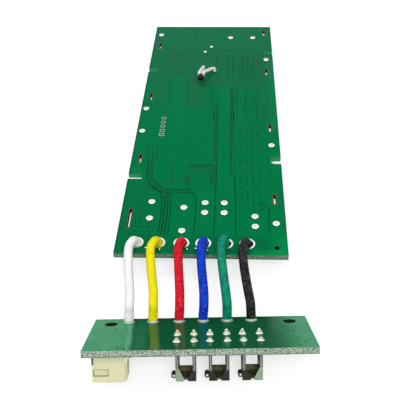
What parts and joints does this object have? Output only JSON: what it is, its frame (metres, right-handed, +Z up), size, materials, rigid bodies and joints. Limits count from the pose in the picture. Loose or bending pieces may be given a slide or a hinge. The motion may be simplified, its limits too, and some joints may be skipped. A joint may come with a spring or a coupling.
{
  "type": "battery management board",
  "caption": "Long slotted control board with its parts beneath, silicone leads at one end and a small terminal board with folded blade clips and a signal socket.",
  "frame": {"origin": "middle of the bounding box on the table, under the boards", "axes": "+X across the boards, to the right seen from the terminal board; +Y along the control board, away from the terminal board; +Z up from the table"},
  "size_m": [0.055, 0.183, 0.0139],
  "materials": {
    "mask_main": "semi-gloss solder mask over glass-epoxy laminate, paler at the sawn edges",
    "mask_terminal": "wet-looking gloss solder mask over glass-epoxy laminate",
    "copper_rim": "bare copper, dulled",
    "solder": "bright solder",
    "silicone_white": "satin silicone",
    "silicone_yellow": "satin silicone",
    "silicone_red": "satin silicone",
    "silicone_blue": "satin silicone",
    "silicone_green": "satin silicone",
    "silicone_black": "satin silicone",
    "epoxy_black": "glossy epoxy bead",
    "sleeve_white": "matte sleeving",
    "tinned_sheet": "tinned sheet, satin",
    "socket_cream": "moulded nylon",
    "gold_contact": "bright",
    "dark_metal": "dull metal",
    "can_aluminium": "satin can",
    "black_plastic": "moulded epoxy",
    "pin_tin": "matt tin",
    "shunt_metal": "dull resistance metal",
    "resistor_black": "glazed film on ceramic",
    "fuse_ceramic": "glazed ceramic",
    "capacitor_tan": "fired ceramic"
  },
  "bodies": {
    "root": {"main_board": "mask_main", "tab_slot_rims": "copper_rim", "solder_pads": "solder", "header_hole_rings": "solder", "lead_hole_rings": "solder", "lead_white": "silicone_white", "lead_yellow": "silicone_yellow", "lead_red": "silicone_red", "lead_blue": "silicone_blue", "lead_green": "silicone_green", "lead_black": "silicone_black", "lead_tails": "solder", "lead_tail_solder": "solder", "lead_pins": "solder", "lead_feet": "solder", "lead_pin_solder": "solder", "sensor_bead": "epoxy_black", "sensor_sleeves": "sleeve_white", "sensor_legs": "solder", "sensor_solder": "solder", "terminal_board": "mask_terminal", "clip_left": "tinned_sheet", "clip_middle": "tinned_sheet", "clip_right": "tinned_sheet", "clip_solder": "solder", "socket_housing": "socket_cream", "socket_contacts": "gold_contact", "socket_anchors": "dark_metal", "capacitor_cans": "can_aluminium", "capacitor_bases": "black_plastic", "power_transistors": "black_plastic", "transistor_tabs": "pin_tin", "transistor_legs": "pin_tin", "controller_chip": "black_plastic", "controller_pins": "pin_tin", "monitor_chip": "black_plastic", "monitor_pins": "pin_tin", "regulator_body": "black_plastic", "regulator_legs": "pin_tin", "current_shunts": "shunt_metal", "balance_resistors": "resistor_black", "balance_switches": "black_plastic", "balance_switch_legs": "pin_tin", "clamp_diodes": "black_plastic", "diode_ends": "pin_tin", "fuse_body": "fuse_ceramic", "fuse_ends": "pin_tin", "chip_resistors": "resistor_black", "chip_capacitors": "capacitor_tan", "chip_ends": "pin_tin"}
  },
  "joints": []
}
